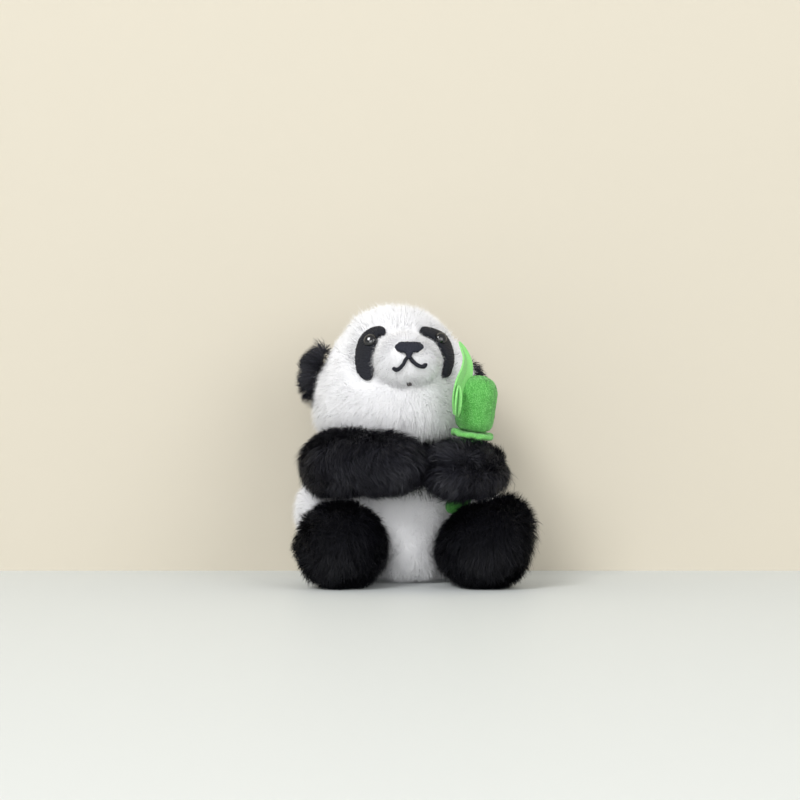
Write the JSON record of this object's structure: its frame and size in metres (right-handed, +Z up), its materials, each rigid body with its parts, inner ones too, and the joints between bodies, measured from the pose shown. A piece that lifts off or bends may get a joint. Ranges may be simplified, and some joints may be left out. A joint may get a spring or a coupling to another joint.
{
  "type": "plush panda",
  "caption": "Seated stuffed toy panda with long black and white pile, embroidered face, glossy eyes and a green stuffed bamboo stick in its hug.",
  "frame": {"origin": "centre of the bounding box's underside, on the surface the panda sits on", "axes": "+Z up, -Y the way the panda faces, +X to the right as seen from the front"},
  "size_m": [0.1157, 0.1322, 0.1385],
  "materials": {
    "white_plush": "long soft pile",
    "black_plush": "long shaggy pile",
    "muzzle_plush": "short smooth pile",
    "embroidery": "satin stitch thread",
    "eye_plastic": "clear gloss",
    "washer_plastic": "moulded",
    "stuffing": "polyester fibre",
    "pellet_bag": "woven pouch of pellets",
    "bamboo_knit": "short loop knit",
    "ring_knit": "folded fleece",
    "leaf_felt": "felt"
  },
  "bodies": {
    "torso": {"body_cover": "white_plush", "shoulder_band": "black_plush", "body_stuffing": "stuffing", "pellet_bag": "pellet_bag", "tail": "white_plush"},
    "head": {"head_cover": "white_plush", "head_stuffing": "stuffing", "muzzle_cover": "muzzle_plush", "muzzle_stuffing": "stuffing", "nose_embroidery": "embroidery", "mouth_embroidery": "embroidery", "left_eye_patch": "embroidery", "right_eye_patch": "embroidery", "left_eye": "eye_plastic", "right_eye": "eye_plastic", "left_eye_washer": "washer_plastic", "right_eye_washer": "washer_plastic", "left_ear": "black_plush", "right_ear": "black_plush"},
    "left_arm": {"left_arm_cover": "black_plush", "left_arm_stuffing": "stuffing"},
    "right_arm": {"right_arm_cover": "black_plush", "right_arm_stuffing": "stuffing"},
    "left_leg": {"left_leg_cover": "black_plush", "left_leg_stuffing": "stuffing"},
    "right_leg": {"right_leg_cover": "black_plush", "right_leg_stuffing": "stuffing"},
    "bamboo": {"bamboo_upper_cover": "bamboo_knit", "bamboo_ring": "ring_knit", "bamboo_lower_cover": "bamboo_knit", "bamboo_stuffing": "stuffing", "leaf_long": "leaf_felt", "leaf_short": "leaf_felt"}
  },
  "joints": [
    {"name": "head_turn", "type": "hinge", "parent": "torso", "child": "head", "pos_m": [-0.01, 0.0096, 0.07585], "axis": [0, 0, 1], "range_deg": [-15, 8], "stiffness_Nm_per_rad": 0.01},
    {"name": "left_shoulder", "type": "hinge", "parent": "torso", "child": "left_arm", "pos_m": [-0.043, 0.0016, 0.06], "axis": [0, 0, -1], "range_deg": [0, 45], "stiffness_Nm_per_rad": 0.01},
    {"name": "right_shoulder", "type": "hinge", "parent": "torso", "child": "right_arm", "pos_m": [0.034, -0.0004, 0.0578], "axis": [0, 0, 1], "range_deg": [0, 45], "stiffness_Nm_per_rad": 0.01},
    {"name": "left_hip", "type": "hinge", "parent": "torso", "child": "left_leg", "pos_m": [-0.029, -0.0064, 0.016], "axis": [0, 0, -1], "range_deg": [0, 20], "stiffness_Nm_per_rad": 0.01},
    {"name": "right_hip", "type": "hinge", "parent": "torso", "child": "right_leg", "pos_m": [0.024, -0.0064, 0.016], "axis": [0, 0, 1], "range_deg": [0, 20], "stiffness_Nm_per_rad": 0.01},
    {"name": "bamboo_slide", "type": "slide", "parent": "torso", "child": "bamboo", "axis": [0.1453, -0.1045, 0.9839], "range_m": [0, 0.05]}
  ]
}
